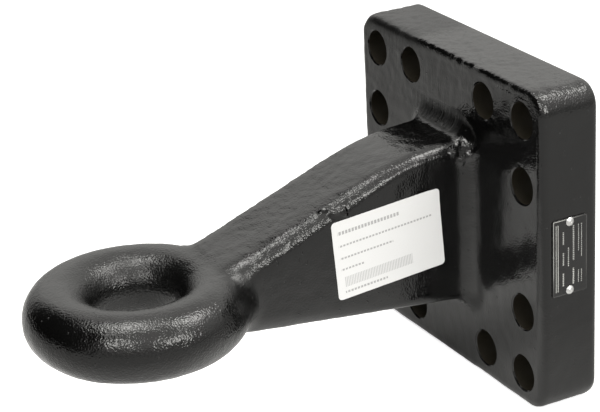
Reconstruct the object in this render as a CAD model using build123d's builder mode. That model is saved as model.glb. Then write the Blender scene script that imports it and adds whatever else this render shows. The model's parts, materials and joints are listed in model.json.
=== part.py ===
from build123d import *
import os
from math import asin, atan2, hypot, sin, sqrt, tan

# A bolt-on drawbar eye: one drop forging of a square flange, a tapering shank and a
# round eye, with a type plate nailed to the flange's edge and a paper label on the
# shank. All sizes are in millimetres.
# The origin is the centre of the flange's rear face, +Y points into the drawbar,
# the eye lies towards -Y, and +Z is up.

# Bolt holes: four in the corners, and two more along each side between them
bolt_hole_diameter = 22.0
corner_pitch_x = 160.0
corner_pitch_z = 160.0
inner_pitch = 80.0
bolt_hole_chamfer = 0.8

# Flange
hole_to_edge = 20.0
flange_thickness = 40.0
flange_corner_radius = 14.0
flange_edge_round = 4.5

# Eye
eye_distance = 250.0
eye_drop = 14.0
eye_bore = 50.0
eye_bar = 41.0

# Shank
shank_width_at_flange = 55.0
shank_width_at_eye = 60.0
shank_rise = 52.0
shank_fall = 53.0
crown_radius = 165.0
crown_end_gap = 12.0
tip_below_crest = 1.4
tip_above_belly = 0.5
keel_radius = 90.0
keel_length = 20.0
shank_edge_round_at_flange = 8.0
shank_edge_round_at_eye = 13.0
flange_blend_radius = 12.0
eye_blend_radius = 16.0
root_sink = 6.0
tip_past_crest = 5.0
station_count = 9

# Type plate and its two nails, on the flange's +X edge
plate_width = 24.0
plate_height = 48.0
plate_thickness = 0.8
plate_corner_radius = 1.5
plate_off_centre = 0.8
plate_drop = 1.0
nail_to_plate_end = 2.5
nail_diameter = 3.0
nail_length = 8.0
nail_head_diameter = 5.4
nail_head_height = 1.3
nail_groove_count = 3
nail_groove_diameter = 0.8
nail_hole_clearance = 0.1
nail_hole_extra_depth = 1.0

# Paper label, on the shank's +X face
label_width = 74.0
label_height = 50.0
label_thickness = 0.2
label_corner_radius = 2.5
label_tilt = 3.9
label_from_blend = 10.0
label_middle_height = 0.0

# Worked-out places
front_y = -flange_thickness
eye_y = -eye_distance
eye_z = -eye_drop
eye_ring_radius = (eye_bore + eye_bar) / 2
root_y = front_y + root_sink
tip_y = eye_y + eye_ring_radius - tip_past_crest
tip_top = eye_z + eye_bar / 2 - tip_below_crest
tip_bottom = eye_z - eye_bar / 2 + tip_above_belly
shank_length = front_y - tip_y
flange_width = corner_pitch_x + 2 * hole_to_edge
flange_height = corner_pitch_z + 2 * hole_to_edge
plate_x = flange_width / 2
plate_y = front_y / 2 - plate_off_centre
nail_pitch = plate_height - 2 * nail_to_plate_end
nail_heights = [-plate_drop - nail_pitch / 2, -plate_drop + nail_pitch / 2]
label_y = front_y - flange_blend_radius - label_from_blend - label_width / 2

# The top line's straight slope runs from the tip and touches the crown arc
crown_end = front_y - crown_end_gap
crown_centre_z = shank_rise - crown_radius
tip_to_centre = hypot(crown_end - tip_y, crown_centre_z - tip_top)
top_slope = atan2(crown_centre_z - tip_top, crown_end - tip_y) + asin(crown_radius / tip_to_centre)
crown_start = crown_end - crown_radius * sin(top_slope)


def half_width(y):
    """Half of the shank's width: its side faces are flat and spread towards the eye."""
    share = (front_y - y) / shank_length
    return (shank_width_at_flange + (shank_width_at_eye - shank_width_at_flange) * share) / 2


def top_height(y):
    """The shank's top line: level at the flange, then a crown arc, then a straight slope."""
    if y >= crown_end:
        return shank_rise
    if y >= crown_start:
        return crown_centre_z + sqrt(crown_radius**2 - (crown_end - y) ** 2)
    return tip_top + (y - tip_y) * tan(top_slope)


def bottom_height(y):
    """The shank's bottom line: a straight slope that turns up as it runs into the eye."""
    straight = -shank_fall + (tip_bottom + shank_fall) * (front_y - y) / shank_length
    keel_run = max(0, tip_y + keel_length - y)
    return straight + keel_radius - sqrt(keel_radius**2 - keel_run**2)


def edge_round(y):
    """Radius of the shank's long edges, which grows towards the eye."""
    share = (front_y - y) / shank_length
    grown = (shank_edge_round_at_eye - shank_edge_round_at_flange) * share
    return shank_edge_round_at_flange + grown


# Shank: rounded rectangles lofted from inside the flange to inside the eye's bar
with BuildPart() as shank:
    for station in range(station_count):
        station_y = root_y + (tip_y - root_y) * station / (station_count - 1)
        top = top_height(station_y)
        bottom = bottom_height(station_y)
        middle = (0, station_y, (top + bottom) / 2)
        with BuildSketch(Plane(origin=middle, x_dir=(1, 0, 0), z_dir=(0, -1, 0))):
            RectangleRounded(2 * half_width(station_y), top - bottom, edge_round(station_y))
    loft()

# Eye: a round bar bent into a closed ring
eye_axis = Axis((0, eye_y, eye_z), (0, 0, 1))
with BuildPart() as eye:
    with BuildSketch(Plane(origin=(0, eye_y, eye_z), x_dir=(1, 0, 0), z_dir=(0, -1, 0))):
        with Locations((eye_ring_radius, 0)):
            Circle(eye_bar / 2)
    revolve(axis=eye_axis)

# Flange: a thick square plate with rounded corners and edges
with BuildPart() as flange:
    with BuildSketch(Plane.XZ):
        RectangleRounded(flange_width, flange_height, flange_corner_radius)
    extrude(amount=flange_thickness)
    outline_edges = flange.faces().sort_by(Axis.Y)[0].edges()
    outline_edges += flange.faces().sort_by(Axis.Y)[-1].edges()
    fillet(outline_edges, radius=flange_edge_round)

# Forging: the three forms made one, with the blends that forging dies leave
with BuildPart() as eye_forging:
    add(eye.part)
    add(shank.part)
    junction = [
        edge
        for edge in eye_forging.edges()
        if edge.center().Y > tip_y - 1
        and edge.bounding_box().size.Y < eye_bar / 2
        and edge.center().Y < tip_y + eye_bar
    ]
    fillet(junction, radius=eye_blend_radius)
    add(flange.part)
    root_edges = [
        edge
        for edge in eye_forging.edges()
        if abs(edge.center().Y - front_y) < 0.01
        and edge.bounding_box().size.Y < 0.01
        and abs(edge.center().X) < shank_width_at_flange
        and abs(edge.center().Z) < (shank_rise + shank_fall) / 2 + 1
    ]
    fillet(root_edges, radius=flange_blend_radius)
    with BuildSketch(Plane.XZ):
        with GridLocations(corner_pitch_x, corner_pitch_z, 2, 2):
            Circle(bolt_hole_diameter / 2)
        with GridLocations(corner_pitch_x, inner_pitch, 2, 2):
            Circle(bolt_hole_diameter / 2)
        with GridLocations(inner_pitch, corner_pitch_z, 2, 2):
            Circle(bolt_hole_diameter / 2)
    extrude(amount=flange_thickness, mode=Mode.SUBTRACT)
    rims = eye_forging.edges().filter_by(GeomType.CIRCLE)
    rims = [
        edge
        for edge in rims
        if abs(edge.radius - bolt_hole_diameter / 2) < 0.001
        and edge.bounding_box().size.Y < 0.01
    ]
    chamfer(rims, length=bolt_hole_chamfer)
    for nail_z in nail_heights:
        with Locations(Plane(origin=(plate_x, plate_y, nail_z), z_dir=(1, 0, 0))):
            Hole(
                radius=(nail_diameter + nail_hole_clearance) / 2,
                depth=nail_length - plate_thickness + nail_hole_extra_depth,
            )

eye_forging.part.label = "eye_forging"

# Type plate: thin sheet, flat on the flange's edge
plate_plane = Plane(origin=(plate_x, plate_y, -plate_drop), x_dir=(0, 1, 0), z_dir=(1, 0, 0))
with BuildPart() as type_plate:
    with BuildSketch(plate_plane):
        RectangleRounded(plate_width, plate_height, plate_corner_radius)
        with GridLocations(0, nail_pitch, 1, 2):
            Circle((nail_diameter + nail_hole_clearance) / 2, mode=Mode.SUBTRACT)
    extrude(amount=plate_thickness)

type_plate.part.label = "type_plate"


def make_nail(nail_z):
    """A drive nail: a domed head on the plate, and a grooved shank in its blind hole."""
    head_radius = nail_head_diameter / 2
    dome_radius = (head_radius**2 + nail_head_height**2) / (2 * nail_head_height)
    seat = (plate_x + plate_thickness, plate_y, nail_z)
    with BuildPart() as nail:
        with BuildSketch(Plane(origin=seat, x_dir=(1, 0, 0), z_dir=(0, -1, 0))):
            with BuildLine():
                Line((0, 0), (0, head_radius))
                RadiusArc((0, head_radius), (nail_head_height, 0), dome_radius)
                Line((nail_head_height, 0), (0, 0))
            make_face()
        revolve(axis=Axis(seat, (1, 0, 0)))
        with BuildSketch(Plane(origin=seat, z_dir=(-1, 0, 0))):
            Circle(nail_diameter / 2)
            with PolarLocations(nail_diameter / 2, nail_groove_count):
                Circle(nail_groove_diameter / 2, mode=Mode.SUBTRACT)
        extrude(amount=nail_length)
    return nail.part


lower_plate_nail = make_nail(nail_heights[0])
lower_plate_nail.label = "lower_plate_nail"
upper_plate_nail = make_nail(nail_heights[1])
upper_plate_nail.label = "upper_plate_nail"

# Paper label: lies flat on the shank's +X face, which spreads towards the eye
spread = (shank_width_at_eye - shank_width_at_flange) / 2
face_length = hypot(shank_length, spread)
face_normal = (shank_length / face_length, spread / face_length, 0)
towards_flange = (-face_normal[1], face_normal[0], 0)
label_plane = Plane(
    origin=(half_width(label_y), label_y, label_middle_height),
    x_dir=towards_flange,
    z_dir=face_normal,
)
with BuildPart() as paper_label:
    with BuildSketch(label_plane):
        with Locations(Location((0, 0, 0), (0, 0, label_tilt))):
            RectangleRounded(label_width, label_height, label_corner_radius)
    extrude(amount=label_thickness)

paper_label.part.label = "paper_label"

os.makedirs("parts", exist_ok=True)
export_step(eye_forging.part, "parts/eye_forging.step")
export_step(type_plate.part, "parts/type_plate.step")
export_step(lower_plate_nail, "parts/lower_plate_nail.step")
export_step(upper_plate_nail, "parts/upper_plate_nail.step")
export_step(paper_label.part, "parts/paper_label.step")
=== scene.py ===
import json
import math

import bpy
from mathutils import Matrix, Vector

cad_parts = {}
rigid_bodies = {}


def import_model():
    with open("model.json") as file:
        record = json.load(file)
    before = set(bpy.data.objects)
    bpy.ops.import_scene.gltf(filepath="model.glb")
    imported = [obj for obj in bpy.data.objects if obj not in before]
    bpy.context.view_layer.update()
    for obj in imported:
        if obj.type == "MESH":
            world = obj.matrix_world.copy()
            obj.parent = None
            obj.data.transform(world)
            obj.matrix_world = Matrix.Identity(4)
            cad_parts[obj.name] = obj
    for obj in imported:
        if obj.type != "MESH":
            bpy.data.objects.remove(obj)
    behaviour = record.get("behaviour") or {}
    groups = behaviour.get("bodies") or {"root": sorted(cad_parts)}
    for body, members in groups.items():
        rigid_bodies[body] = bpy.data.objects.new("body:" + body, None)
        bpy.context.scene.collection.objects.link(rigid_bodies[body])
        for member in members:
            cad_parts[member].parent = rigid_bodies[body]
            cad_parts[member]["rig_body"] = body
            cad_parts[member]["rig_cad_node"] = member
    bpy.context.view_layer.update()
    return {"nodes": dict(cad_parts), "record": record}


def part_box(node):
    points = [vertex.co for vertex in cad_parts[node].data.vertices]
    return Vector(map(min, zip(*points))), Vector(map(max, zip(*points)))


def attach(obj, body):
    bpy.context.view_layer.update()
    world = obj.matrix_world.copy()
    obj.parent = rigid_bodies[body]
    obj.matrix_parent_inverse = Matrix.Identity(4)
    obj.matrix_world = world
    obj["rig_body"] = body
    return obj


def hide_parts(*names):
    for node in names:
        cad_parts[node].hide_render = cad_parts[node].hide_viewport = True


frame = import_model()
record = frame["record"]

# The part is a forged towing eye on a square flange. It lies with the flange's rear
# face at y = 0, the eye towards -Y and the eye's hole along Z. All lengths are in
# metres.
MM = 0.001

# Sizes that the frame states
FORGING_LOW, FORGING_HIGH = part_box("eye_forging")
PLATE_LOW, PLATE_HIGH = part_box("type_plate")
LABEL_LOW, LABEL_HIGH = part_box("paper_label")
FLANGE_HALF = FORGING_HIGH.x
BOLT_PATTERNS = [mount for mount in record["mounts"] if mount["kind"] == "bolt_pattern"]
HOLE_RADIUS = BOLT_PATTERNS[0]["dims"]["hole_r_mm"] * MM

# Sizes that the CAD source states
FLANGE_FRONT = -0.040
HOLE_CHAMFER = 0.0008
EYE_Y = -0.250
SHANK_LENGTH = 0.1695
SHANK_HALF_WIDTH = 0.0275
SHANK_WIDENING = 0.0025
SHANK_RISE = 0.052
CROWN_RADIUS = 0.165
CROWN_END = -0.052
CROWN_START = -0.1087
NAIL_NAMES = ["upper_plate_nail", "lower_plate_nail"]
NAIL_RADIUS = 0.0015
NAIL_LENGTH = 0.008
NAIL_HEAD_RADIUS = 0.0027
NAIL_HEAD_HEIGHT = 0.0013
NAIL_HOLE_RADIUS = 0.00155
NAIL_HOLE_DEPTH = 0.0082
PLATE_CORNER = 0.0015
LABEL_WIDTH = 0.074
LABEL_HEIGHT = 0.050
LABEL_THICKNESS = 0.0002
LABEL_CORNER = 0.0025
LABEL_TILT = math.radians(3.9)

# The label's place on the shank's side face: its middle, its normal and its two axes
SIDE_SPREAD = math.atan2(SHANK_WIDENING, SHANK_LENGTH)
LABEL_NORMAL = Vector((math.cos(SIDE_SPREAD), math.sin(SIDE_SPREAD), 0))
TOWARDS_FLANGE = Vector((-math.sin(SIDE_SPREAD), math.cos(SIDE_SPREAD), 0))
LABEL_MIDDLE = (LABEL_LOW + LABEL_HIGH) / 2 - LABEL_NORMAL * LABEL_THICKNESS / 2
LABEL_ALONG = TOWARDS_FLANGE * math.cos(LABEL_TILT) + Vector((0, 0, math.sin(LABEL_TILT)))
LABEL_UP = LABEL_NORMAL.cross(LABEL_ALONG)

# How finely the pieces are made, and how near counts as touching
SKIN_VOXEL = 0.0016
MERGE_DISTANCE = 0.000002
TOUCH = 0.0001
BOLT_DRILL_SIDES = 56
BOLT_DRILL_FLARE = 0.003
NAIL_DRILL_SIDES = 32
NAIL_DRILL_OVERRUN = 0.002
NAIL_DRILL_TIP = 0.0007
NAIL_SIDES = 40
NAIL_DOME_STEPS = 8
NAIL_DOME_STEP = math.radians(10)
NAIL_CROWN_SINK = 0.00012
NAIL_TIP_LENGTH = 0.0006
NAIL_TIP_SHARE = 0.6
PLATE_EDGE_ROUND = 0.00018
PLATE_ROW_PITCH = 0.002
PLATE_BULGE = 0.0002
LABEL_ROW_PITCH = 0.0028
LABEL_GLUE = 0.00008
LABEL_LIFT = 0.0007
LABEL_LIFT_REACH = 0.011

# Marks of forging and painting. A pair is the two places that an effect fades between.
LIP_INSET = 0.0010
LEFT_LIP_FADES = (-0.045, -0.015)
LIP_BOTTOM = 0.085
EDGE_INSET = 0.003
EDGE_FADES = (0.004, 0.009)
ROUGH_EDGE_STARTS = (0.085, 0.130)
SMOOTH_EDGE_ENDS = (0.095, 0.130)
EYE_START = -0.170
EYE_EDGE_END = -0.215
ROOT_END = -0.056
ROOT_CORNER = Vector((0.0300, FLANGE_FRONT - 0.0055, SHANK_RISE - 0.0065))
ROOT_GRAIN_MIDDLE = Vector((0.030, FLANGE_FRONT - 0.005, SHANK_RISE - 0.006))
NECK_MIDDLE = Vector((0.037, -0.197, -0.008))
PAINT_DROPS = [
    ((0.0270, -0.0460, 0.0505), 0.6),
    ((0.0275, -0.0510, 0.0468), 0.7),
    ((0.0315, -0.0434, 0.0444), 1.0),
    ((0.0287, -0.0473, 0.0406), 1.0),
]
PAINT_BEAD = [
    (0.0235, -0.1406, 0.0290),
    (0.0240, -0.1367, 0.0300),
    (0.0268, -0.1355, 0.0275),
    (0.0274, -0.1325, 0.0278),
    (0.0274, -0.1280, 0.0292),
    (0.0283, -0.1278, 0.0262),
]
GRAIN_LAYER = "grain"
DULL_LAYER = "dull"

# Print, each field as left, right, low and high from the sheet's lower left corner
PLATE_BORDER_INSET = 0.0004
PLATE_BORDER_WIDTH = 0.00035
PLATE_DASH_PITCH = 0.0012
PLATE_LONG_RULES = [
    (0.0021, 0.0025, 0.003, 0.045),
    (0.0034, 0.0039, 0.003, 0.045),
]
PLATE_DASHED_RULES = [
    (0.0068, 0.0077, 0.006, 0.014),
    (0.0068, 0.0077, 0.019, 0.027),
    (0.0068, 0.0077, 0.032, 0.040),
    (0.0104, 0.0111, 0.018, 0.030),
    (0.0138, 0.0148, 0.006, 0.016),
    (0.0138, 0.0148, 0.021, 0.043),
    (0.0176, 0.0181, 0.006, 0.014),
    (0.0176, 0.0181, 0.026, 0.043),
    (0.0197, 0.0202, 0.006, 0.014),
    (0.0197, 0.0202, 0.022, 0.043),
]
LABEL_DASH_PITCH = 0.0022
LABEL_BAR_PITCH = 0.0011
LABEL_DASHED_ROWS = [
    (0.0035, 0.046, 0.0412, 0.0434),
    (0.0035, 0.068, 0.0335, 0.0347),
    (0.0035, 0.040, 0.0256, 0.0268),
    (0.0035, 0.019, 0.0184, 0.0196),
    (0.0050, 0.034, 0.0036, 0.0050),
]
LABEL_BAR_STRIP = (0.005, 0.052, 0.0075, 0.0140)

# Camera, fitted to the photograph's viewing angle. Angles are in degrees.
CAMERA_AZIMUTH = 62.475
CAMERA_ELEVATION = 22.762
CAMERA_ROLL = -2.984
CAMERA_PLACE = Vector((1.027119, -0.676985, 0.510842))
CAMERA_LENS = 128.68
CAMERA_SENSOR = 36
CAMERA_CLIP = 0.05

# Light and floor
MIDDLE = Vector((0.0, -0.12, 0.0))
LAMP_DISTANCE = 1.5
WARM_WHITE = (1.0, 0.99, 0.955)
LOW_SKY_LEVEL = 0.6
HIGH_SKY_LEVEL = 1.45
HIGH_SKY_START = 0.6
FLAG_LEVEL = 0.012
FLAG_TURN = -92
FLAG_RISE = 20
FLAG_EDGE = (0.54, 0.76)
FLOOR_SIZE = 12
FLOOR_MIDDLE = (-0.05, -0.15)
FLOOR_GAP = 0.0002
# Floor tones: a pool of painted light near the flange, and the plain tone further off
FLOOR_PAINTED_LIGHT_TONE = 0.92
FLOOR_TONE = 0.37
# Painted shade of the black flag on the floor, on the flag's side
FLOOR_PAINTED_FLAG_SHADE_TONE = 0.08
FLOOR_CAMERA_LIFT = 0.80

# The colour sockets of a Mix node, whose names it gives to other sockets too
MIX_FIRST_COLOUR = 6
MIX_SECOND_COLOUR = 7
MIX_COLOUR_RESULT = 2


def deselect():
    """Leaves nothing selected and nothing being edited."""
    if bpy.context.object and bpy.context.object.mode != "OBJECT":
        bpy.ops.object.mode_set(mode="OBJECT")
    for thing in bpy.context.view_layer.objects:
        thing.select_set(False)


def make_active(thing):
    """Selects one object alone."""
    deselect()
    thing.select_set(True)
    bpy.context.view_layer.objects.active = thing


def edit(select="FACE"):
    """Opens the active mesh for editing, with nothing selected."""
    bpy.ops.object.mode_set(mode="EDIT")
    bpy.ops.mesh.select_mode(type=select)
    bpy.ops.mesh.select_all(action="DESELECT")


def pick_faces(piece, wanted):
    """Selects the faces for which wanted(centre, normal) holds."""
    bpy.ops.object.mode_set(mode="OBJECT")
    for face in piece.data.polygons:
        face.select = wanted(face.center, face.normal)
    bpy.ops.object.mode_set(mode="EDIT")


def pick_edges(piece, wanted):
    """Selects the edges for which wanted(end, end) holds."""
    bpy.ops.object.mode_set(mode="OBJECT")
    points = piece.data.vertices
    for edge in piece.data.edges:
        edge.select = wanted(points[edge.vertices[0]].co, points[edge.vertices[1]].co)
    bpy.ops.object.mode_set(mode="EDIT")


def extrude(x=0.0, y=0.0):
    """Extrudes what is selected by a move along X or Y."""
    bpy.ops.mesh.extrude_region_move(TRANSFORM_OT_translate={"value": (x, y, 0)})


def cut_rows(axis, low, high, pitch):
    """Cuts the whole edited mesh by evenly pitched planes across an axis."""
    normal = Vector((0, 0, 0))
    normal[axis] = 1
    count = int((high - low) / pitch)
    for step in range(1, count):
        point = Vector((0, 0, 0))
        point[axis] = low + (high - low) * step / count
        bpy.ops.mesh.select_all(action="SELECT")
        bpy.ops.mesh.bisect(plane_co=point, plane_no=normal)


def finish_edit():
    """Turns all faces outwards and closes the mesh for editing."""
    bpy.ops.mesh.select_all(action="SELECT")
    bpy.ops.mesh.normals_make_consistent(inside=False)
    bpy.ops.mesh.select_all(action="DESELECT")
    bpy.ops.object.mode_set(mode="OBJECT")


def settle(piece):
    """Puts the piece's place into its mesh, so its object sits at the origin, unturned."""
    make_active(piece)
    bpy.ops.object.transform_apply(location=True, rotation=True, scale=True)


def copies(first, places):
    """Copies of a thing, one at each place, each with its own mesh. Removes the first."""
    made = []
    for place in places:
        make_active(first)
        bpy.ops.object.duplicate()
        copy = bpy.context.object
        copy.location = place
        settle(copy)
        made.append(copy)
    bpy.data.objects.remove(first)
    return made


def add_modifier(piece, kind, name, **settings):
    """Adds a modifier with its settings and applies it."""
    make_active(piece)
    modifier = piece.modifiers.new(name, kind)
    for key, value in settings.items():
        setattr(modifier, key, value)
    bpy.ops.object.modifier_apply(modifier=modifier.name)


def weigh(piece, name, weight):
    """Gives each point the weight that weight(point) says, in a vertex group."""
    group = piece.vertex_groups.new(name=name)
    for point in piece.data.vertices:
        share = weight(point.co)
        if share > 0:
            group.add([point.index], share, "REPLACE")
    return name


def set_materials(piece, *materials):
    """Gives the piece these materials alone."""
    piece.data.materials.clear()
    for material in materials:
        piece.data.materials.append(material)


def shade(piece, degrees):
    """Shades the piece smooth, apart from edges sharper than an angle."""
    make_active(piece)
    bpy.ops.object.shade_smooth_by_angle(angle=math.radians(degrees))


def ramp(value, low, high):
    """Goes smoothly from 0 at low to 1 at high."""
    share = min(1.0, max(0.0, (value - low) / (high - low)))
    return share * share * (3 - 2 * share)


def near(place, middle, inner, outer):
    """1 within the inner distance of a point, and 0 beyond the outer one."""
    return 1 - ramp((place - middle).length, inner, outer)


def towards(turn, rise):
    """A direction from the object's middle: turn is from the camera's side, plus to its
    right, and rise is above level, in degrees."""
    azimuth = math.radians(CAMERA_AZIMUTH + turn)
    level = math.cos(math.radians(rise))
    height = math.sin(math.radians(rise))
    return Vector((math.sin(azimuth) * level, -math.cos(azimuth) * level, height))


def bolt_places():
    """The (x, z) place of each bolt hole, from the record's three bolt patterns."""
    places = []
    for pattern in BOLT_PATTERNS:
        half_x = pattern["dims"]["spacing_x_mm"] * MM / 2
        half_z = pattern["dims"]["spacing_y_mm"] * MM / 2
        for sign_x in (-1, 1):
            for sign_z in (-1, 1):
                places.append((sign_x * half_x, sign_z * half_z))
    return places


def nail_places():
    """The (y, z) place of each plate nail."""
    places = []
    for name in NAIL_NAMES:
        low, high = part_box(name)
        places.append(((low.y + high.y) / 2, (low.z + high.z) / 2))
    return places


BOLTS = bolt_places()
NAILS = nail_places()
FLAG_DIRECTION = towards(FLAG_TURN, FLAG_RISE)


# Shader nodes

def new_group(name, inputs, outputs):
    """A shader node group with named value inputs and outputs, and its two end nodes."""
    group = bpy.data.node_groups.new(name, "ShaderNodeTree")
    for label, kind, value in inputs:
        socket = group.interface.new_socket(name=label, in_out="INPUT", socket_type=kind)
        if value is not None:
            socket.default_value = value
    for label in outputs:
        group.interface.new_socket(
            name=label, in_out="OUTPUT", socket_type="NodeSocketFloat"
        )
    start = group.nodes.new("NodeGroupInput")
    end = group.nodes.new("NodeGroupOutput")
    return group, start, end


def new_material(name):
    """A material with its Principled shader. Returns material, tree and shader."""
    material = bpy.data.materials.new(name)
    material.use_nodes = True
    tree = material.node_tree
    return material, tree, tree.nodes["Principled BSDF"]


def feed(tree, socket, value):
    """Links a socket to an output, or sets it to a plain value."""
    if isinstance(value, bpy.types.NodeSocket):
        tree.links.new(value, socket)
    else:
        socket.default_value = value


def use_group(tree, group, **settings):
    """Places a node group in a material."""
    node = tree.nodes.new("ShaderNodeGroup")
    node.node_tree = group
    for name, value in settings.items():
        feed(tree, node.inputs[name], value)
    return node


def object_place(tree):
    """The place on the piece, from its Object coordinates."""
    return tree.nodes.new("ShaderNodeTexCoord").outputs["Object"]


def attribute(tree, name):
    """A value that the mesh carries at each point."""
    node = tree.nodes.new("ShaderNodeAttribute")
    node.attribute_name = name
    return node.outputs["Fac"]


def axis_of(tree, vector, axis):
    """A vector's length along one axis."""
    node = tree.nodes.new("ShaderNodeSeparateXYZ")
    tree.links.new(vector, node.inputs[0])
    return node.outputs[axis]


def vector_node(tree, operation, first, second):
    """A Vector Math node on an output and a plain vector."""
    node = tree.nodes.new("ShaderNodeVectorMath")
    node.operation = operation
    tree.links.new(first, node.inputs[0])
    node.inputs[1].default_value = second
    return node


def math_node(tree, operation, first, second=0.0):
    """A Math node on two values or outputs. Returns its output."""
    node = tree.nodes.new("ShaderNodeMath")
    node.operation = operation
    feed(tree, node.inputs[0], first)
    feed(tree, node.inputs[1], second)
    return node.outputs[0]


def times(tree, first, second):
    """The product of two values or outputs."""
    return math_node(tree, "MULTIPLY", first, second)


def plus(tree, first, second):
    """The sum of two values or outputs."""
    return math_node(tree, "ADD", first, second)


def spread(tree, value, low, high, start=0.0, end=1.0):
    """A smooth Map Range from low..high to start..end. Returns its output."""
    node = tree.nodes.new("ShaderNodeMapRange")
    node.interpolation_type = "SMOOTHSTEP"
    tree.links.new(value, node.inputs["Value"])
    node.inputs["From Min"].default_value = low
    node.inputs["From Max"].default_value = high
    node.inputs["To Min"].default_value = start
    node.inputs["To Max"].default_value = end
    return node.outputs["Result"]


def grey(level):
    """A grey as red, green and blue."""
    return (level, level, level)


def blend_colour(tree, share, first, second):
    """Mixes two colours by share, each an output or red, green and blue."""
    node = tree.nodes.new("ShaderNodeMix")
    node.data_type = "RGBA"
    tree.links.new(share, node.inputs["Factor"])
    for place, colour in ((MIX_FIRST_COLOUR, first), (MIX_SECOND_COLOUR, second)):
        if isinstance(colour, tuple):
            colour = (*colour, 1.0)
        feed(tree, node.inputs[place], colour)
    return node.outputs[MIX_COLOUR_RESULT]


def noise(tree, place, scale, detail, rough):
    """A noise texture on a place. Returns its value."""
    node = tree.nodes.new("ShaderNodeTexNoise")
    node.inputs["Scale"].default_value = scale
    node.inputs["Detail"].default_value = detail
    node.inputs["Roughness"].default_value = rough
    tree.links.new(place, node.inputs["Vector"])
    return node.outputs["Fac"]


def scaled(tree, place, x, y, z):
    """Stretches a place by a Mapping node. Returns the new place."""
    node = tree.nodes.new("ShaderNodeMapping")
    node.inputs["Scale"].default_value = (x, y, z)
    tree.links.new(place, node.inputs["Vector"])
    return node.outputs["Vector"]


def along(tree, place, origin, direction):
    """How far a place lies from origin in a direction. Returns the distance."""
    away = vector_node(tree, "SUBTRACT", place, origin).outputs["Vector"]
    return vector_node(tree, "DOT_PRODUCT", away, direction).outputs["Value"]


def between(tree, value, low, high):
    """1 where a value lies from low to high, else 0."""
    off_middle = plus(tree, value, -(low + high) / 2)
    return math_node(tree, "LESS_THAN", math_node(tree, "ABSOLUTE", off_middle), (high - low) / 2)


def field(tree, across, up, left, right, low, high):
    """1 inside a rectangle of the two distances, else 0."""
    return times(tree, between(tree, across, left, right), between(tree, up, low, high))


def either(tree, masks):
    """The largest of several masks."""
    total = masks[0]
    for mask in masks[1:]:
        total = math_node(tree, "MAXIMUM", total, mask)
    return total


def fields(tree, across, up, boxes):
    """1 inside any of several rectangles, else 0."""
    return either(tree, [field(tree, across, up, *box) for box in boxes])


def stripes(tree, value, pitch, share):
    """1 on evenly pitched stripes that fill share of each pitch, else 0."""
    phase = math_node(tree, "FRACT", math_node(tree, "DIVIDE", value, pitch))
    return math_node(tree, "LESS_THAN", phase, share)


def finish_look(tree, shader, colour, roughness, height, depth):
    """Feeds the shader its colour, its roughness and a surface height, depth metres high."""
    node = tree.nodes.new("ShaderNodeBump")
    node.inputs["Distance"].default_value = depth
    feed(tree, node.inputs["Height"], height)
    feed(tree, shader.inputs["Base Color"], colour)
    feed(tree, shader.inputs["Roughness"], roughness)
    feed(tree, shader.inputs["Normal"], node.outputs["Normal"])


def make_cast_skin():
    """Painted forging skin: fine grains, soft orange peel, sparse nibs and a cloudy tone."""
    group, start, end = new_group(
        "cast_skin",
        [("Place", "NodeSocketVector", None), ("Grain", "NodeSocketFloat", 1.0)],
        ["Height", "Tone"],
    )
    place = start.outputs["Place"]
    peel_height = 0.6
    nib_height = 0.7
    grain = noise(group, place, scale=900.0, detail=1.0, rough=0.3)
    peel = noise(group, place, scale=240.0, detail=1.0, rough=0.5)
    specks = noise(group, place, scale=430.0, detail=0.0, rough=0.5)
    nibs = spread(group, specks, low=0.785, high=0.83)
    height = plus(group, grain, times(group, peel, peel_height))
    height = times(group, height, start.outputs["Grain"])
    height = plus(group, height, times(group, nibs, nib_height))
    tone = noise(group, place, scale=38.0, detail=4.0, rough=0.6)
    feed(group, end.inputs["Height"], height)
    feed(group, end.inputs["Tone"], tone)
    return group


def make_paint_runs():
    """Streaks where wet paint ran: under the flange's top edge, and where Share says."""
    group, start, end = new_group(
        "paint_runs",
        [("Place", "NodeSocketVector", None), ("Share", "NodeSocketFloat", 0.0)],
        ["Height", "Streaks"],
    )
    place = start.outputs["Place"]
    y = axis_of(group, place, "Y")
    z = axis_of(group, place, "Z")
    shared_height = 1.5
    threads = noise(
        group, scaled(group, place, 520.0, 60.0, 34.0), scale=1.0, detail=3.0, rough=0.7
    )
    streaks = spread(group, threads, low=0.35, high=0.65)
    on_front = spread(
        group, y, low=FLANGE_FRONT - 0.0005, high=FLANGE_FRONT + 0.002, start=1.0, end=0.0
    )
    off_shank = spread(group, y, low=FLANGE_FRONT - 0.012, high=FLANGE_FRONT - 0.004)
    under_edge = spread(group, z, low=0.045, high=0.096)
    spots = noise(group, place, scale=30.0, detail=2.0, rough=0.5)
    patches = spread(group, spots, low=0.42, high=0.62)
    mask = times(group, times(group, on_front, off_shank), under_edge)
    mask = times(group, mask, patches)
    shared = times(group, start.outputs["Share"], shared_height)
    mask = math_node(group, "MAXIMUM", mask, shared)
    feed(group, end.inputs["Height"], times(group, streaks, mask))
    feed(group, end.inputs["Streaks"], streaks)
    return group


CAST_SKIN = make_cast_skin()
PAINT_RUNS = make_paint_runs()


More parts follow.
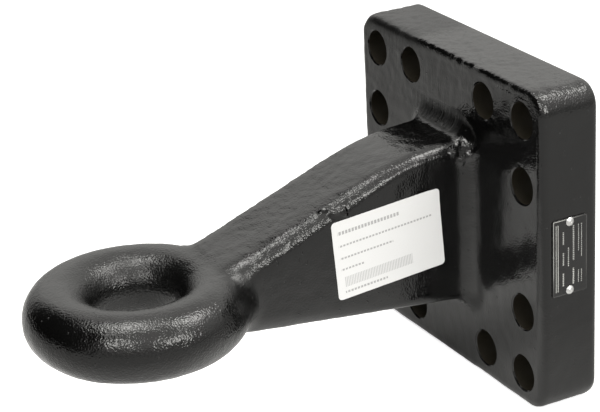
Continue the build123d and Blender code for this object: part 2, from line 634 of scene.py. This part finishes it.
def make_black_paint():
    """Satin black paint over forged steel. Its dull layer makes it rougher up to one half,
    and streaked beyond that."""
    material, tree, shader = new_material("black_paint_on_forging")
    place = object_place(tree)
    dull = attribute(tree, DULL_LAYER)
    streaked = spread(tree, dull, low=0.5, high=1.0)
    skin = use_group(tree, CAST_SKIN, Place=place, Grain=attribute(tree, GRAIN_LAYER))
    runs = use_group(tree, PAINT_RUNS, Place=place, Share=streaked)
    tone = skin.outputs["Tone"]
    run_height = 0.5
    streak_contrast = 0.20
    colour = blend_colour(tree, tone, grey(0.0014), (0.0028, 0.0028, 0.0027))
    rough = spread(tree, tone, low=0.3, high=0.7, start=0.12, end=0.17)
    duller = spread(tree, dull, low=0.0, high=0.5, start=0.0, end=0.20)
    streaks = times(tree, runs.outputs["Streaks"], streak_contrast)
    streaks = plus(tree, streaks, -streak_contrast / 2)
    duller = plus(tree, duller, times(tree, streaked, streaks))
    height = times(tree, runs.outputs["Height"], run_height)
    height = plus(tree, height, skin.outputs["Height"])
    finish_look(tree, shader, colour, plus(tree, rough, duller), height, depth=0.00024)
    return material


def make_hole_paint():
    """Thin, warm and dark: overspray inside a drilled hole."""
    material, tree, shader = new_material("drilled_wall")
    place = object_place(tree)
    skin = use_group(tree, CAST_SKIN, Place=place, Grain=0.5)
    skin_height = 0.4
    colour = blend_colour(
        tree, skin.outputs["Tone"], (0.010, 0.0082, 0.0052), (0.016, 0.0133, 0.0084)
    )
    turned = scaled(tree, place, 30.0, 900.0, 30.0)
    rings = noise(tree, turned, scale=1.0, detail=2.0, rough=0.5)
    height = plus(tree, rings, times(tree, skin.outputs["Height"], skin_height))
    shader.inputs["Specular IOR Level"].default_value = 0.25
    finish_look(tree, shader, colour, 0.5, height, depth=0.0001)
    return material


def plate_print(tree, place, tone):
    """The mask of the plate's pale print: a border and plain rules, worn in patches. The
    border is partly print and partly a painted edge highlight, kept on the left and top and
    faded out to the right and bottom.
    """
    across = along(tree, place, PLATE_LOW, (0, 1, 0))
    up = along(tree, place, PLATE_LOW, (0, 0, 1))
    wide = PLATE_HIGH.y - PLATE_LOW.y
    tall = PLATE_HIGH.z - PLATE_LOW.z
    boxes = []
    for inset in (PLATE_BORDER_INSET, PLATE_BORDER_INSET + PLATE_BORDER_WIDTH):
        box = (inset, wide - inset, inset, tall - inset)
        boxes.append(field(tree, across, up, *box))
    border = math_node(tree, "SUBTRACT", boxes[0], boxes[1])
    # Painted edge highlight: the pale border is kept on the left and top edges and faded out to
    # the right and bottom
    edge_highlight_fade_right = spread(tree, across, low=0.010, high=0.022, start=1.0, end=0.15)
    edge_highlight_fade_bottom = spread(tree, up, low=0.001, high=0.020, start=0.10, end=1.0)
    border = times(tree, times(tree, border, edge_highlight_fade_right), edge_highlight_fade_bottom)
    long_rules = fields(tree, across, up, PLATE_LONG_RULES)
    dashes = stripes(tree, up, PLATE_DASH_PITCH, share=0.72)
    dashed = times(tree, fields(tree, across, up, PLATE_DASHED_RULES), dashes)
    faces = tree.nodes.new("ShaderNodeNewGeometry").outputs["True Normal"]
    front = math_node(tree, "GREATER_THAN", axis_of(tree, faces, "X"), 0.9)
    worn = spread(tree, tone, low=0.25, high=0.6, start=0.45, end=1.0)
    printed = times(tree, either(tree, [border, dashed, long_rules]), front)
    return times(tree, printed, worn)


def make_plate_enamel():
    """Black enamelled sheet with plain ruled fields and a pale border, which is print and,
    along its left and top, a painted edge highlight.
    """
    material, tree, shader = new_material("plate_enamel_with_rules")
    place = object_place(tree)
    skin = use_group(tree, CAST_SKIN, Place=place, Grain=0.25)
    tone = skin.outputs["Tone"]
    enamel = blend_colour(tree, tone, grey(0.006), grey(0.010))
    colour = blend_colour(tree, plate_print(tree, place, tone), enamel, (0.42, 0.42, 0.40))
    rough = spread(tree, tone, low=0.3, high=0.7, start=0.22, end=0.32)
    finish_look(tree, shader, colour, rough, skin.outputs["Height"], depth=0.00003)
    return material


def make_nail_metal():
    """Bright drawn metal with fine marks."""
    material, tree, shader = new_material("nail_bright_metal")
    tone = noise(tree, object_place(tree), scale=900.0, detail=3.0, rough=0.6)
    colour = blend_colour(tree, tone, (0.50, 0.50, 0.49), (0.74, 0.74, 0.73))
    shader.inputs["Metallic"].default_value = 1.0
    rough = spread(tree, tone, low=0.3, high=0.7, start=0.28, end=0.42)
    finish_look(tree, shader, colour, rough, tone, depth=0.00002)
    return material


def make_label_paper():
    """Matt off-white label stock, printed with rows of plain dashes and even bars."""
    material, tree, shader = new_material("label_paper_with_rules")
    place = object_place(tree)
    across = along(tree, place, LABEL_MIDDLE - LABEL_ALONG * LABEL_WIDTH / 2, LABEL_ALONG)
    up = along(tree, place, LABEL_MIDDLE - LABEL_UP * LABEL_HEIGHT / 2, LABEL_UP)
    dash_ink = 0.55
    bar_ink = 0.42
    rows = fields(tree, across, up, LABEL_DASHED_ROWS)
    rows = times(tree, rows, stripes(tree, across, LABEL_DASH_PITCH, share=0.66))
    strip = field(tree, across, up, *LABEL_BAR_STRIP)
    strip = times(tree, strip, stripes(tree, across, LABEL_BAR_PITCH, share=0.5))
    ink = either(tree, [times(tree, rows, dash_ink), times(tree, strip, bar_ink)])
    spots = noise(tree, place, scale=2200.0, detail=2.0, rough=0.6)
    ink = times(tree, ink, spread(tree, spots, low=0.2, high=0.6, start=0.7, end=1.0))
    fibre = noise(tree, place, scale=1500.0, detail=4.0, rough=0.6)
    paper = blend_colour(tree, fibre, grey(0.64), grey(0.69))
    colour = blend_colour(tree, ink, paper, grey(0.05))
    finish_look(tree, shader, colour, 0.55, fibre, depth=0.00002)
    return material


BLACK_PAINT = make_black_paint()
HOLE_PAINT = make_hole_paint()
PLATE_ENAMEL = make_plate_enamel()
NAIL_METAL = make_nail_metal()
LABEL_PAPER = make_label_paper()


# The holes and their drills

def in_bolt_hole(place):
    """Whether a place lies within a bolt hole's rim."""
    reach = HOLE_RADIUS + HOLE_CHAMFER + 3 * TOUCH
    return any(math.hypot(place.x - x, place.z - z) < reach for x, z in BOLTS)


def in_nail_hole(place):
    """Whether a place lies in a nail's blind hole."""
    if place.x < FLANGE_HALF - 2 * NAIL_HOLE_DEPTH:
        return False
    reach = NAIL_HOLE_RADIUS + TOUCH
    return any(math.hypot(place.y - y, place.z - z) < reach for y, z in NAILS)


def on_hole_wall(centre, normal):
    """Whether a face is a bolt hole's wall or chamfer, or inside a nail's hole."""
    if in_bolt_hole(centre):
        return abs(normal.y) < 0.95
    on_side_face = normal.x > 0.9 and centre.x > FLANGE_HALF - TOUCH
    return in_nail_hole(centre) and not on_side_face


def make_bolt_drill():
    """A drill with flared ends: it cuts a bolt hole and the chamfer at both rims."""
    deselect()
    bpy.ops.mesh.primitive_cylinder_add(
        vertices=BOLT_DRILL_SIDES,
        radius=HOLE_RADIUS,
        depth=-FLANGE_FRONT - 2 * HOLE_CHAMFER,
        location=(0, FLANGE_FRONT / 2, 0),
        rotation=(math.pi / 2, 0, 0),
    )
    drill = bpy.context.object
    settle(drill)
    grow = (HOLE_RADIUS + BOLT_DRILL_FLARE) / HOLE_RADIUS
    for side in (-1, 1):
        edit()
        pick_faces(drill, lambda centre, normal: normal.y * side > 0.9)
        extrude(y=side * BOLT_DRILL_FLARE)
        bpy.ops.transform.resize(value=(grow, 1, grow), center_override=(0, 0, 0))
        bpy.ops.object.mode_set(mode="OBJECT")
    edit()
    finish_edit()
    return drill


def make_nail_drill():
    """A drill for a nail's blind hole, with a cone at its tip."""
    deselect()
    depth = NAIL_HOLE_DEPTH + NAIL_DRILL_OVERRUN
    bpy.ops.mesh.primitive_cylinder_add(
        vertices=NAIL_DRILL_SIDES,
        radius=NAIL_HOLE_RADIUS,
        depth=depth,
        location=(FLANGE_HALF + NAIL_DRILL_OVERRUN - depth / 2, 0, 0),
        rotation=(0, math.pi / 2, 0),
    )
    drill = bpy.context.object
    settle(drill)
    edit()
    pick_faces(drill, lambda centre, normal: normal.x < -0.9)
    extrude(x=-NAIL_DRILL_TIP)
    bpy.ops.mesh.merge(type="CENTER")
    finish_edit()
    return drill


def make_drills():
    """All the drills as one mesh, their walls marked for the drilled-wall finish."""
    drills = copies(make_bolt_drill(), [(x, 0, z) for x, z in BOLTS])
    drills += copies(make_nail_drill(), [(0, y, z) for y, z in NAILS])
    make_active(drills[0])
    for drill in drills:
        drill.select_set(True)
    bpy.ops.object.join()
    joined = bpy.context.object
    set_materials(joined, BLACK_PAINT, HOLE_PAINT)
    for face in joined.data.polygons:
        face.material_index = 1 if face.normal.y**2 < 0.1 else 0
    return joined


# Where the forging's skin is rough, raised or dull, and how strong its grain is

def shank_top(y):
    """The height of the shank's top line: level, then a crown arc, then a straight slope."""
    run = max(0.0, CROWN_END - max(y, CROWN_START))
    depth = math.sqrt(CROWN_RADIUS**2 - run**2)
    fall = max(0.0, CROWN_START - y) * run / depth
    return SHANK_RISE - CROWN_RADIUS + depth - fall


def on_shank_top(place):
    """1 on the shank's top face, and 0 from 2 mm below it."""
    top = shank_top(place.y)
    return ramp(place.z, top - 0.002, top - 0.0005)


def near_edge(place):
    """1 on the shank's upper edges, and 0 from 9 mm away."""
    side = SHANK_HALF_WIDTH + SHANK_WIDENING * (FLANGE_FRONT - place.y) / SHANK_LENGTH
    beside = side - EDGE_INSET - abs(place.x)
    below = place.z - shank_top(place.y) + EDGE_INSET
    return 1 - ramp(math.hypot(beside, below), *EDGE_FADES)


def lip_distance(place):
    """How far a place lies from the flange's top front edge, just inside the corner."""
    return math.hypot(place.y - FLANGE_FRONT - LIP_INSET, place.z - FLANGE_HALF + LIP_INSET)


def left_lip(place):
    """1 at the left end of the flange's top front edge, which is rounder, and 0 at the right."""
    return 1 - ramp(place.x, *LEFT_LIP_FADES)


def bead_distance(place):
    """How far a place lies from the wavy bead of paint on the shank's near upper edge."""
    nearest = 1.0
    for start, end in zip(PAINT_BEAD, PAINT_BEAD[1:]):
        start = Vector(start)
        run = Vector(end) - start
        share = min(1.0, max(0.0, (place - start).dot(run) / run.length_squared))
        nearest = min(nearest, (place - start - share * run).length)
    return nearest


def bore_share(place, inner, outer):
    """1 within the inner distance of the eye's axis, and 0 beyond the outer one."""
    return 1 - ramp(math.hypot(place.x, place.y - EYE_Y), inner, outer)


def forged_share(place):
    """How rough the skin may be: not on the machined rear face or under the type plate."""
    off_rear = ramp(-place.y, 0.001, 0.006)
    past_side = max(PLATE_LOW.y - place.y, place.y - PLATE_HIGH.y)
    past_end = max(PLATE_LOW.z - place.z, place.z - PLATE_HIGH.z)
    on_side_face = ramp(place.x, FLANGE_HALF - 0.010, FLANGE_HALF - 0.001)
    under_plate = (1 - ramp(max(past_side, past_end), 0.0, 0.006)) * on_side_face
    return off_rear * (1 - under_plate)


def soft_lip_share(place):
    """The left part of the flange's top front edge, which is rounder than the rest."""
    return (1 - ramp(lip_distance(place), 0.006, 0.010)) * left_lip(place)


def lip_share(place):
    """Where the flange's top front edge was pressed sharper and paint gathered in lumps."""
    return (1 - 0.9 * left_lip(place)) * (1 - ramp(lip_distance(place), 0.0006, 0.0034))


def rough_share(place):
    """Where the skin is roughest: the shank's upper edges, but not close to the bead."""
    if place.y > FLANGE_FRONT - 0.002 or place.y < EYE_EDGE_END:
        return 0.0
    growing = 0.10 + 0.90 * ramp(-place.y, *ROUGH_EDGE_STARTS)
    clear = 1 - 0.85 * (1 - ramp(bead_distance(place), 0.0022, 0.0050))
    return growing * clear * near_edge(place)


def root_share(place):
    """The corner where the shank's near upper edge meets the flange: paint pooled there."""
    return near(place, ROOT_CORNER, 0.0045, 0.0105)


def drop_share(place):
    """Four round drops of paint that dried in the same corner."""
    return max(
        height * near(place, Vector(drop), 0.0006, 0.0036) for drop, height in PAINT_DROPS
    )


def bead_share(place):
    """How high the bead of paint stands."""
    return 1 - ramp(bead_distance(place), 0.0004, 0.0022)


def top_share(place):
    """Where forging scale left pits: the flange's top face and the shank's top."""
    if place.y > FLANGE_FRONT:
        on_top = ramp(place.z, FLANGE_HALF - 0.003, FLANGE_HALF - 0.0008)
        return on_top * ramp(-place.y, 0.004, 0.010)
    if place.y > -0.200:
        return 0.45 * on_shank_top(place)
    return 0.0


def dull_front(place):
    """A little on the blend round the shank's sides, and less on the flange's front."""
    off_blend = ramp(abs(place.x), 0.046, 0.060)
    high = ramp(place.z, -0.040, -0.020)
    return 0.24 * (1 - off_blend) + 0.14 * off_blend * high


def dull_eye(place):
    """In the neck beside the eye and in the bore, most towards the bore's lower rim."""
    low = 1 - ramp(place.z, -0.018, -0.008)
    neck = near(place, NECK_MIDDLE, 0.014, 0.028)
    bore = bore_share(place, 0.030, 0.040)
    return max(0.35 * neck, bore * (0.28 + 0.22 * low))


def root_streaks(place):
    """On the flange's front just above the blend over the shank's top, in full."""
    in_height = ramp(place.z, 0.0525, 0.0550) * (1 - ramp(place.z, 0.0620, 0.0690))
    in_width = ramp(place.x, -0.044, -0.032) * (1 - ramp(place.x, 0.012, 0.024))
    return in_height * in_width


def dull_share(place):
    """Where the paint dried duller: up to one half rougher, and beyond that streaked."""
    if place.y > FLANGE_FRONT - 0.001 and place.z > LIP_BOTTOM:
        return 0.5 * left_lip(place)
    if place.y > FLANGE_FRONT + 0.001:
        return 0.0
    if place.y > FLANGE_FRONT - 0.030 and place.z < 0.0440:
        return dull_front(place)
    if place.y < EYE_START:
        return dull_eye(place)
    if place.y < ROOT_END:
        return 0.10 * near_edge(place) * (1 - ramp(-place.y, *SMOOTH_EDGE_ENDS))
    return root_streaks(place)


def grain_share(place):
    """How strong the paint's fine grain is: most on the eye, the edges and the root corner."""
    if place.y < -0.190:
        bore = bore_share(place, 0.036, 0.044)
        return 0.55 + (0.5 + 0.35 * bore) * ramp(-place.y, 0.190, 0.212)
    mirrored = Vector((abs(place.x), place.y, place.z))
    at_root = near(mirrored, ROOT_GRAIN_MIDDLE, 0.007, 0.013)
    edge = 1.4 * rough_share(place)
    on_flange_top = ramp(place.z, FLANGE_HALF - 0.008, FLANGE_HALF - 0.001)
    on_shank = on_shank_top(place) if place.y < FLANGE_FRONT - 0.012 else 0.0
    shoulder = ramp(abs(place.x), 0.078, 0.088) * ramp(place.z, 0.078, 0.088)
    rough = 0.7 * max(edge, at_root)
    return 0.42 + rough + 0.55 * on_flange_top + 0.25 * on_shank + 0.5 * shoulder


# The skin's relief, in the order that it is made: its name, where it lies, its height,
# the level of its lumps that stays put, and its lumps' width and steps of detail
SKIN_RELIEF = [
    ("hammer_waves", forged_share, 0.0007, 0.55, (0.030, 2)),
    ("scale_dents", forged_share, 0.00028, 0.55, (0.007, 1)),
    ("pressed_edge", lip_share, 0.0006, 0.0, None),
    ("paint_lumps", lip_share, 0.0016, 0.52, (0.0052, 2)),
    ("root_blobs", root_share, 0.0030, 0.42, (0.0042, 1)),
    ("paint_drops", drop_share, 0.0019, 0.0, None),
    ("paint_bead", bead_share, 0.0017, 0.0, None),
    ("scale_pits", top_share, 0.0011, 0.66, (0.0038, 2)),
    ("edge_scale", rough_share, 0.0009, 0.5, (0.0036, 2)),
]


def clouds(name, width, detail):
    """A cloud texture whose lumps are about width wide."""
    texture = bpy.data.textures.new(name, "CLOUDS")
    texture.noise_scale = width
    texture.noise_depth = detail
    return texture


def copy_forging():
    """A copy of the forging's CAD node under its own name."""
    make_active(frame["nodes"]["eye_forging"])
    bpy.ops.object.duplicate()
    piece = bpy.context.object
    piece.name = "forging_skin"
    piece.data.name = "forging_skin"
    bpy.ops.object.parent_clear(type="CLEAR_KEEP_TRANSFORM")
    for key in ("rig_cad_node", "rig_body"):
        if key in piece:
            del piece[key]
    return piece


def plug_holes(piece):
    """Merges the mesh and closes its holes, so that it can be worn and drilled again."""
    edit()
    bpy.ops.mesh.select_all(action="SELECT")
    bpy.ops.mesh.remove_doubles(threshold=MERGE_DISTANCE)
    pick_faces(piece, on_hole_wall)
    bpy.ops.mesh.delete(type="FACE")
    bpy.ops.mesh.select_mode(type="EDGE")
    bpy.ops.mesh.select_all(action="SELECT")
    bpy.ops.mesh.fill_holes(sides=0)
    bpy.ops.mesh.quads_convert_to_tris()
    finish_edit()


def wear(piece):
    """Gives the smooth form its rounded lip and the relief of forging and painting."""
    voxel = SKIN_VOXEL * 1
    add_modifier(piece, "REMESH", "skin", mode="VOXEL", voxel_size=voxel, adaptivity=0.0)
    add_modifier(piece, "SMOOTH", "soften", factor=0.5, iterations=2)
    soft_lip = weigh(piece, "soft_lip", soft_lip_share)
    add_modifier(piece, "SMOOTH", "round", factor=0.5, iterations=25, vertex_group=soft_lip)
    for name, share, height, level, lumps in SKIN_RELIEF:
        weigh(piece, name, share)
    for name, share, height, level, lumps in SKIN_RELIEF:
        settings = {"strength": height, "mid_level": level, "vertex_group": name}
        if lumps:
            settings["texture"] = clouds(name, *lumps)
        add_modifier(piece, "DISPLACE", name, **settings)
    piece.vertex_groups.clear()


def make_forging():
    """The forging's skin: a copy of the CAD form, plugged, remeshed, worn and drilled."""
    piece = copy_forging()
    plug_holes(piece)
    wear(piece)
    set_materials(piece, BLACK_PAINT, HOLE_PAINT)
    drills = make_drills()
    add_modifier(
        piece, "BOOLEAN", "drill", operation="DIFFERENCE", object=drills, solver="EXACT",
        material_mode="INDEX",
    )
    bpy.data.objects.remove(drills)
    for name, share in ((GRAIN_LAYER, grain_share), (DULL_LAYER, dull_share)):
        layer = piece.data.attributes.new(name, "FLOAT", "POINT")
        for point in piece.data.vertices:
            layer.data[point.index].value = share(point.co)
    shade(piece, 38)
    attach(piece, "root")
    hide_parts("eye_forging")
    return piece


def make_label(target):
    """The paper label: a thin sheet with round corners, laid onto the forging."""
    deselect()
    bpy.ops.mesh.primitive_plane_add(size=1)
    piece = bpy.context.object
    piece.name = "label_sheet"
    piece.data.name = "label_sheet"
    piece.scale = (LABEL_WIDTH, LABEL_HEIGHT, 1)
    settle(piece)
    edit("VERT")
    bpy.ops.mesh.select_all(action="SELECT")
    bpy.ops.mesh.bevel(offset=LABEL_CORNER, segments=6, affect="VERTICES")
    cut_rows(0, -LABEL_WIDTH / 2, LABEL_WIDTH / 2, LABEL_ROW_PITCH)
    cut_rows(1, -LABEL_HEIGHT / 2, LABEL_HEIGHT / 2, LABEL_ROW_PITCH)
    bpy.ops.object.mode_set(mode="OBJECT")
    turn = Matrix((LABEL_ALONG, LABEL_UP, LABEL_NORMAL)).transposed()
    piece.matrix_world = Matrix.Translation(LABEL_MIDDLE) @ turn.to_4x4()
    settle(piece)
    add_modifier(
        piece, "SHRINKWRAP", "laid_on", target=target, wrap_method="NEAREST_SURFACEPOINT",
        wrap_mode="ON_SURFACE", offset=LABEL_GLUE,
    )
    corner = LABEL_MIDDLE + LABEL_ALONG * LABEL_WIDTH / 2 + LABEL_UP * LABEL_HEIGHT / 2
    lift = weigh(piece, "lift", lambda place: near(place, corner, 0.0, LABEL_LIFT_REACH))
    add_modifier(
        piece, "DISPLACE", "lifted_corner", strength=LABEL_LIFT, mid_level=0.0,
        vertex_group=lift,
    )
    piece.vertex_groups.clear()
    add_modifier(piece, "SOLIDIFY", "paper", thickness=LABEL_THICKNESS, offset=1.0)
    set_materials(piece, LABEL_PAPER)
    shade(piece, 30)
    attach(piece, "root")
    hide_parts("paper_label")


def plate_bulge(place):
    """How far the plate's front stands proud: most in its middle, none at its edges."""
    middle = (PLATE_LOW + PLATE_HIGH) / 2
    if place.x < middle.x:
        return 0.0
    up = (place.z - middle.z) / (PLATE_HIGH.z - middle.z)
    across = (place.y - middle.y) / (PLATE_HIGH.y - middle.y)
    return max(0.0, 1 - up * up) * max(0.0, 1 - across * across)


def punch_nail_hole(piece, y, z):
    """Punches one nail's hole through the plate."""
    deselect()
    bpy.ops.mesh.primitive_cylinder_add(
        vertices=NAIL_DRILL_SIDES,
        radius=NAIL_HOLE_RADIUS,
        depth=3 * NAIL_DRILL_OVERRUN,
        location=(PLATE_HIGH.x, y, z),
        rotation=(0, math.pi / 2, 0),
    )
    punch = bpy.context.object
    settle(punch)
    add_modifier(
        piece, "BOOLEAN", "nail_hole", operation="DIFFERENCE", object=punch, solver="EXACT"
    )
    bpy.data.objects.remove(punch)


def make_type_plate():
    """The type plate: thin sheet with round corners and soft edges, bulged off its nails."""
    deselect()
    bpy.ops.mesh.primitive_cube_add(size=1, location=(PLATE_LOW + PLATE_HIGH) / 2)
    piece = bpy.context.object
    piece.name = "type_plate_sheet"
    piece.data.name = "type_plate_sheet"
    piece.scale = PLATE_HIGH - PLATE_LOW
    settle(piece)
    edit("EDGE")
    half_thick = (PLATE_HIGH.x - PLATE_LOW.x) / 2
    pick_edges(piece, lambda one, two: abs(one.x - two.x) > half_thick)
    bpy.ops.mesh.bevel(offset=PLATE_CORNER, segments=6, affect="EDGES")
    front = PLATE_HIGH.x - TOUCH
    pick_edges(piece, lambda one, two: one.x > front and two.x > front)
    bpy.ops.mesh.bevel(offset=PLATE_EDGE_ROUND, segments=3, affect="EDGES")
    cut_rows(1, PLATE_LOW.y, PLATE_HIGH.y, PLATE_ROW_PITCH)
    cut_rows(2, PLATE_LOW.z, PLATE_HIGH.z, PLATE_ROW_PITCH)
    finish_edit()
    bulge = weigh(piece, "bulge", plate_bulge)
    add_modifier(
        piece, "DISPLACE", "bulge", direction="X", strength=PLATE_BULGE, mid_level=0.0,
        vertex_group=bulge,
    )
    piece.vertex_groups.clear()
    for y, z in NAILS:
        punch_nail_hole(piece, y, z)
    set_materials(piece, PLATE_ENAMEL)
    shade(piece, 35)
    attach(piece, "root")
    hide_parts("type_plate")


def make_nail():
    """A drive nail that points down -X, its head's seat at the origin."""
    deselect()
    bpy.ops.mesh.primitive_circle_add(
        vertices=NAIL_SIDES, radius=NAIL_HEAD_RADIUS, fill_type="NGON",
        rotation=(0, math.pi / 2, 0),
    )
    nail = bpy.context.object
    settle(nail)
    edit()
    bpy.ops.mesh.select_all(action="SELECT")
    dome = (NAIL_HEAD_RADIUS**2 + NAIL_HEAD_HEIGHT**2) / (2 * NAIL_HEAD_HEIGHT)
    height = 0.0
    radius = NAIL_HEAD_RADIUS
    for step in range(1, NAIL_DOME_STEPS + 1):
        new_radius = NAIL_HEAD_RADIUS * math.cos(step * NAIL_DOME_STEP)
        new_height = math.sqrt(dome**2 - new_radius**2) - (dome - NAIL_HEAD_HEIGHT)
        shrink = new_radius / radius
        extrude(x=new_height - height)
        bpy.ops.transform.resize(value=(1, shrink, shrink), center_override=(0, 0, 0))
        height = new_height
        radius = new_radius
    taper = (1, NAIL_TIP_SHARE, NAIL_TIP_SHARE)
    extrude(x=-NAIL_CROWN_SINK)
    bpy.ops.transform.resize(value=taper, center_override=(0, 0, 0))
    bpy.ops.object.mode_set(mode="OBJECT")
    edit()
    pick_faces(nail, lambda centre, normal: abs(centre.x) < MERGE_DISTANCE and abs(normal.x) > 0.9)
    bpy.ops.mesh.inset(thickness=NAIL_HEAD_RADIUS - NAIL_RADIUS, depth=0)
    extrude(x=NAIL_TIP_LENGTH - NAIL_LENGTH)
    extrude(x=-NAIL_TIP_LENGTH)
    bpy.ops.transform.resize(value=taper, center_override=(-NAIL_LENGTH, 0, 0))
    finish_edit()
    set_materials(nail, NAIL_METAL)
    shade(nail, 40)
    return nail


def make_nails():
    """Both plate nails, from one that is modelled once."""
    nails = copies(make_nail(), [(PLATE_HIGH.x, y, z) for y, z in NAILS])
    for name, nail in zip(NAIL_NAMES, nails):
        nail.name = name + "_turned"
        nail.data.name = nail.name
        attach(nail, "root")
        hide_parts(name)


def make_camera():
    """The camera, aimed by azimuth, elevation and roll."""
    back = towards(0, CAMERA_ELEVATION)
    right = (-back).cross(Vector((0, 0, 1))).normalized()
    up = right.cross(-back)
    roll = math.radians(CAMERA_ROLL)
    turned_right = right * math.cos(roll) + up * math.sin(roll)
    turned_up = up * math.cos(roll) - right * math.sin(roll)
    deselect()
    bpy.ops.object.camera_add(location=CAMERA_PLACE)
    camera = bpy.context.object
    turn = Matrix((turned_right, turned_up, back)).transposed()
    camera.matrix_world = Matrix.Translation(CAMERA_PLACE) @ turn.to_4x4()
    camera.data.lens = CAMERA_LENS
    camera.data.sensor_width = CAMERA_SENSOR
    camera.data.clip_start = CAMERA_CLIP
    bpy.context.scene.camera = camera


def make_floor():
    """A floor under the flange, which keeps the object's shadow and looks white to the camera.
    Its colour holds painted light, a pale pool near the flange where the object's shade
    falls, and is darker further off, with painted shade on the black flag's side."""
    deselect()
    bpy.ops.mesh.primitive_plane_add(
        size=FLOOR_SIZE, location=(*FLOOR_MIDDLE, FORGING_LOW.z - FLOOR_GAP)
    )
    floor = bpy.context.object
    floor.name = "floor"
    material, tree, shader = new_material("pale_floor")
    place = object_place(tree)
    away = vector_node(tree, "LENGTH", place, (0, 0, 0)).outputs["Value"]
    # Painted light: a pale pool near the flange where the object's shade falls, fading to the
    # plain tone further off
    far = spread(tree, away, low=0.03, high=0.35)
    tone = blend_colour(tree, far, grey(FLOOR_PAINTED_LIGHT_TONE), grey(FLOOR_TONE))
    # Painted shade: the floor darkens towards the black flag's side
    flag_side = Vector((FLAG_DIRECTION.x, FLAG_DIRECTION.y, 0)).normalized()
    painted_flag_shade = spread(tree, along(tree, place, (0, 0, 0), flag_side), low=0.5, high=1.5)
    tone = blend_colour(tree, painted_flag_shade, tone, grey(FLOOR_PAINTED_FLAG_SHADE_TONE))
    rays = tree.nodes.new("ShaderNodeLightPath")
    lift = times(tree, rays.outputs["Is Camera Ray"], FLOOR_CAMERA_LIFT)
    feed(tree, shader.inputs["Base Color"], tone)
    feed(tree, shader.inputs["Roughness"], 0.9)
    feed(tree, shader.inputs["Emission Color"], (1, 1, 1, 1))
    feed(tree, shader.inputs["Emission Strength"], lift)
    floor.data.materials.append(material)


def make_lamp(name, place, aim, width, depth, power):
    """A soft rectangular lamp at a place, aimed at a point."""
    deselect()
    bpy.ops.object.light_add(type="AREA", location=place)
    lamp = bpy.context.object
    lamp.name = name
    lamp.data.shape = "RECTANGLE"
    lamp.data.size = width
    lamp.data.size_y = depth
    lamp.data.energy = power
    lamp.data.color = WARM_WHITE
    direction = Vector(aim) - Vector(place)
    lamp.rotation_euler = direction.to_track_quat("-Z", "Y").to_euler()


def make_far_lamp(name, turn, rise, width, depth, power):
    """A lamp round the object, placed by its turn from the camera and its rise."""
    place = MIDDLE + towards(turn, rise) * LAMP_DISTANCE
    make_lamp(name, place, MIDDLE, width, depth, power)


def make_world():
    """A pale surrounding with a black flag at the photograph's left, and white behind."""
    world = bpy.data.worlds.new("studio")
    bpy.context.scene.world = world
    world.use_nodes = True
    tree = world.node_tree
    background = tree.nodes["Background"]
    direction = tree.nodes.new("ShaderNodeTexCoord").outputs["Generated"]
    to_flag = vector_node(tree, "DOT_PRODUCT", direction, FLAG_DIRECTION).outputs["Value"]
    flag_start, flag_full = FLAG_EDGE
    open_sky = spread(tree, to_flag, flag_start, flag_full, start=1.0, end=FLAG_LEVEL)
    height = axis_of(tree, direction, "Z")
    level = spread(tree, height, 0.0, HIGH_SKY_START, LOW_SKY_LEVEL, HIGH_SKY_LEVEL)
    level = times(tree, level, open_sky)
    seen = tree.nodes.new("ShaderNodeLightPath").outputs["Is Camera Ray"]
    strength = math_node(tree, "MAXIMUM", seen, level)
    feed(tree, background.inputs["Strength"], strength)
    feed(tree, background.inputs["Color"], blend_colour(tree, seen, WARM_WHITE, grey(1)))


forging = make_forging()
make_label(forging)
make_type_plate()
make_nails()

make_camera()
make_floor()
make_world()
make_lamp("overhead_softbox", (0.0, -0.42, 1.1), (0.0, -0.40, 0.0), 0.75, 0.75, power=3.9)
make_far_lamp("overhead_left", -65, 79, width=0.40, depth=0.40, power=4.2)
make_far_lamp("overhead_right", 93, 63, width=0.44, depth=0.54, power=7.9)
make_far_lamp("front_left_softbox", -22, 35, width=0.34, depth=0.34, power=3.8)
make_far_lamp("front_right_softbox", 36.5, 25.5, width=0.58, depth=0.42, power=7.4)
make_far_lamp("right_fill", 68, 51, width=0.32, depth=0.46, power=2.4)

scene = bpy.context.scene
scene.view_settings.view_transform = "Standard"
